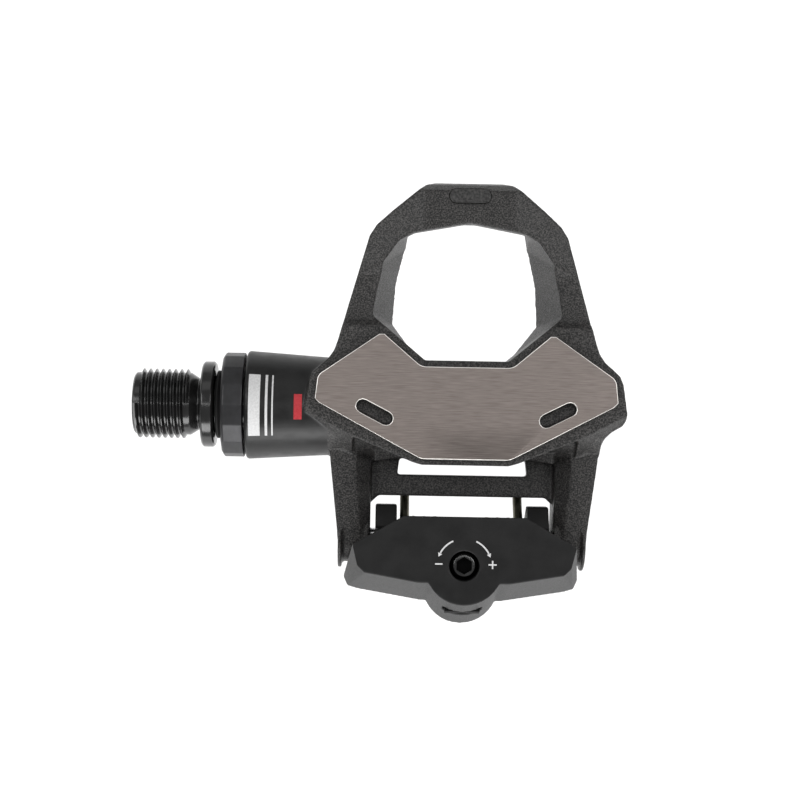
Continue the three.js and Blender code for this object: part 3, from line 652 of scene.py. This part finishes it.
# %% Tension screw
screw_low, screw_high = mm_box("tension_screw")
SOCKET_ACROSS_FLATS, SOCKET_DEPTH, SOCKET_WALL = 3, 2.2, 1.6
SCREW_Y = (screw_low[1] + screw_high[1]) / 2
screw_profile = eased([(screw_low[2], 0), (screw_low[2], 1.4), (screw_low[2] + 0.4, 1.8),
                       (screw_high[2] - 2.7, 1.8), (screw_high[2] - 2.7, 2.6),
                       (screw_high[2] - 0.55, 2.6), (screw_high[2], 2.1), (screw_high[2], 0)], 0.12)
screw = keep(spun(screw_profile, steps=64), "tension_screw_turned")
carve(screw, prism(6, SOCKET_ACROSS_FLATS / 3 ** 0.5, screw_high[2] - SOCKET_DEPTH,
                   screw_high[2] + 1, axis="X"))
screw_ridge = keep(thread_ridge(screw_low[2], screw_high[2] - 3.4, 1.75, 1.98, 0.7, steps=24), "ridge")
merged = bmesh.new()
merged.from_mesh(screw.data)
merged.from_mesh(screw_ridge.data)
bpy.data.objects.remove(screw_ridge)
bpy.data.objects.remove(screw)
bmesh.ops.rotate(merged, verts=merged.verts, cent=(0, 0, 0), matrix=Matrix.Rotation(-pi / 2, 3, "Y"))
bmesh.ops.translate(merged, verts=merged.verts, vec=(PEDAL_CENTRE * MM, SCREW_Y * MM, 0))
screw = keep(merged, "tension_screw_turned")
# Painted shade: the faces deep in the hex socket take the near-black shade finish, so the socket reads dark, as
# shade in a deep recess would.
for face in screw.data.polygons:
    x, y, z = face.center / MM
    near_axis = hypot(x - PEDAL_CENTRE, y - SCREW_Y) < SOCKET_WALL
    socket_shade_mask = near_axis and z > screw_high[2] - SOCKET_DEPTH - 0.1
    face.material_index = 1 if socket_shade_mask else 0
print("socket faces:", sum(face.material_index for face in screw.data.polygons))
dress(screw, "tension_screw", "black_steel", SCREW_STEEL, SLOT_SHADE, replaces=["tension_screw"], smooth=35)

# %% Nut and indicator flag
for node, body_name, slot, material, width in (
    ("tension_nut", "tension_nut", "bearing_steel", BEARING_STEEL, 0.35),
    ("tension_flag", "tension_nut", "indicator_plastic", INDICATOR, 0.3),
):
    part = soften(keep(node_copy(node), node + "_finished"), width)
    dress(part, body_name, slot, material, replaces=[node], smooth=35)

# %% [markdown]
# The smoked window over the flag sits just under the jaw's outer wall, so it is a little
# deeper than its CAD solid: it grows outwards from its inner face. Its near-black finish is
# partly the smoked plastic and partly painted shade: it fills the slot with the dark that
# shade inside it would give, and hides the flag.

# %% Indicator window
window_high = mm_box("indicator_window")[1]
window_bm = node_copy("indicator_window")
bmesh.ops.scale(window_bm, verts=window_bm.verts, vec=(1, 1.36, 1),
                space=Matrix.Translation((0, -window_high[1] * MM, 0)))
window = soften(keep(window_bm, "indicator_window_painted_dark"), 0.08)
dress(window, "rear_jaw", "insert_plastic", SLOT_SHADE, replaces=["indicator_window"], smooth=35)

# %% [markdown]
# The nose insert is a press fit: only a hair of a joint shows round it, so it is a little
# wider than its CAD solid. A round gate mark is left at one end.

# %% Nose insert
insert_low, insert_high = mm_box("nose_insert")
insert_centre = [(low + high) / 2 for low, high in zip(insert_low, insert_high)]
insert_bm = node_copy("nose_insert")
bmesh.ops.scale(insert_bm, verts=insert_bm.verts, vec=(1.06, 1.2, 1),
                space=Matrix.Translation([-c * MM for c in insert_centre]))
insert = keep(insert_bm, "nose_insert_pressed")
carve(insert, prism(24, 0.7, insert_high[2] - 0.12, insert_high[2] + 1,
                    centre=(insert_centre[0] + 2.9, insert_centre[1])))
soften(insert, 0.08)
dress(insert, "pedal_body", "insert_plastic", INSERT, replaces=["nose_insert"], smooth=35)

# %% [markdown]
# Printed marks. The arrows and the two signs round the screw are pad-printed, so they
# are inlays a few hundredths of a millimetre thick, level with the jaw's top. On the
# neck, plain stripes stand where the maker's print would be: short arcs about the axis.

# %% Jaw marks
INK_LOW, INK_HIGH = jaw_top - 0.2, jaw_top - 0.01


def ink_bar(width, length, centre):
    """A flat printed bar in mm, in the jaw's top."""
    bm = bmesh.new()
    bmesh.ops.create_cube(bm, size=1)
    bmesh.ops.scale(bm, verts=bm.verts, vec=(width * MM, length * MM, (INK_HIGH - INK_LOW) * MM))
    bmesh.ops.translate(bm, verts=bm.verts, vec=((PEDAL_CENTRE + centre[0]) * MM, centre[1] * MM,
                                                 (INK_LOW + INK_HIGH) / 2 * MM))
    return bm


def ink_arc(side, radius, width, start, end, steps=20):
    """A printed arc about the screw, from one angle to another."""
    bm = bmesh.new()
    inner, outer = radius - width / 2, radius + width / 2
    turn = Matrix.Rotation(start * side, 4, "Z")
    corners = [(0, inner, INK_LOW), (0, outer, INK_LOW), (0, outer, INK_HIGH), (0, inner, INK_HIGH)]
    verts = [bm.verts.new(turn @ Vector(corner) * MM) for corner in corners]
    face = bm.faces.new(verts)
    bmesh.ops.spin(bm, geom=[face, *face.edges, *face.verts], cent=(0, 0, 0), axis=(0, 0, 1),
                   dvec=(0, 0, 0), angle=(end - start) * side, steps=steps,
                   use_merge=False, use_duplicate=False)
    bmesh.ops.recalc_face_normals(bm, faces=bm.faces)
    bmesh.ops.translate(bm, verts=bm.verts, vec=(PEDAL_CENTRE * MM, SCREW_Y * MM, 0))
    return bm


def arrow_head(side, radius, angle, size):
    """A printed triangle at the arc's end, pointing on along the arc."""
    bm = prism(3, size, INK_LOW, INK_HIGH)
    point = Matrix.Rotation(angle * side, 3, "Z") @ Vector((0, radius, 0))
    bmesh.ops.rotate(bm, verts=bm.verts, cent=(0, 0, 0),
                     matrix=Matrix.Rotation(angle * side + side * pi / 2, 3, "Z"))
    bmesh.ops.translate(bm, verts=bm.verts, vec=((PEDAL_CENTRE + point.x) * MM, (SCREW_Y + point.y) * MM, 0))
    return bm


def gather(name, parts):
    """Several bmeshes as one thing."""
    whole = bmesh.new()
    for part in parts:
        mesh = bpy.data.meshes.new("part")
        part.to_mesh(mesh)
        part.free()
        whole.from_mesh(mesh)
        bpy.data.meshes.remove(mesh)
    return keep(whole, name)


ARC_RADIUS, ARC_WIDTH, ARC_START, ARC_END = 5.35, 0.3, radians(25), radians(62)
marks = gather("jaw_marks_printed", [
    ink_bar(1.45, 0.28, (-5.0, -30.3)),
    ink_bar(1.6, 0.28, (5.5, -30.3)),
    ink_bar(0.28, 0.66, (5.5, -29.83)),
    ink_bar(0.28, 0.66, (5.5, -30.77)),
    *(ink_arc(side, ARC_RADIUS, ARC_WIDTH, ARC_START, ARC_END) for side in (-1, 1)),
    *(arrow_head(side, ARC_RADIUS, ARC_END + 0.06, 0.5) for side in (-1, 1)),
])
dress(marks, "rear_jaw", "jaw_plastic", WHITE_INK, smooth=30)


# %% Neck stripes
def neck_stripe(left, right, start, end):
    """A printed band on the neck, from one angle off straight up to another, in degrees."""
    bm = bmesh.new()
    lift = 0.05
    turn = Matrix.Rotation(radians(start), 4, "X")
    verts = [bm.verts.new(turn @ Vector((x * MM, 0, (neck_radius(x) + lift) * MM)))
             for x in (left, right)]
    edge = bm.edges.new(verts)
    bmesh.ops.spin(bm, geom=[edge, *verts], cent=(0, 0, 0), axis=(1, 0, 0), dvec=(0, 0, 0),
                   angle=radians(end - start), steps=40, use_merge=False, use_duplicate=False)
    bmesh.ops.recalc_face_normals(bm, faces=bm.faces)
    bmesh.ops.solidify(bm, geom=bm.faces, thickness=0.03 * MM)
    return bm


stripes = gather("neck_stripes_printed", [
    neck_stripe(9.9, 12.2, -34, 34), neck_stripe(13.2, 13.7, -34, 34), neck_stripe(14.5, 14.8, -34, 34),
])
dress(stripes, "pedal_body", "composite", WHITE_INK, smooth=30)
dash = gather("neck_dash_printed", [neck_stripe(18.9, 20.5, -13, 15)])
dress(dash, "pedal_body", "composite", RED_INK, smooth=30)

# %% Bearings and sleeve keep their CAD shape and take a finish
for node, material in (
    ("inner_ring_a", BEARING_STEEL), ("inner_ring_b", BEARING_STEEL), ("end_washer", BEARING_STEEL),
    ("end_nut", BEARING_STEEL), ("needle_cage", BEARING_STEEL), ("ball_cage_a", CAGE_BRASS),
    ("ball_cage_b", CAGE_BRASS), ("needle_cup", BEARING_STEEL), ("outer_ring_a", BEARING_STEEL),
    ("outer_ring_b", BEARING_STEEL), ("axle_sleeve", BLACK_ALUMINIUM),
):
    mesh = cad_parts[node].data
    mesh.materials.clear()
    mesh.materials.append(material)
    print(node, "takes", material.name)
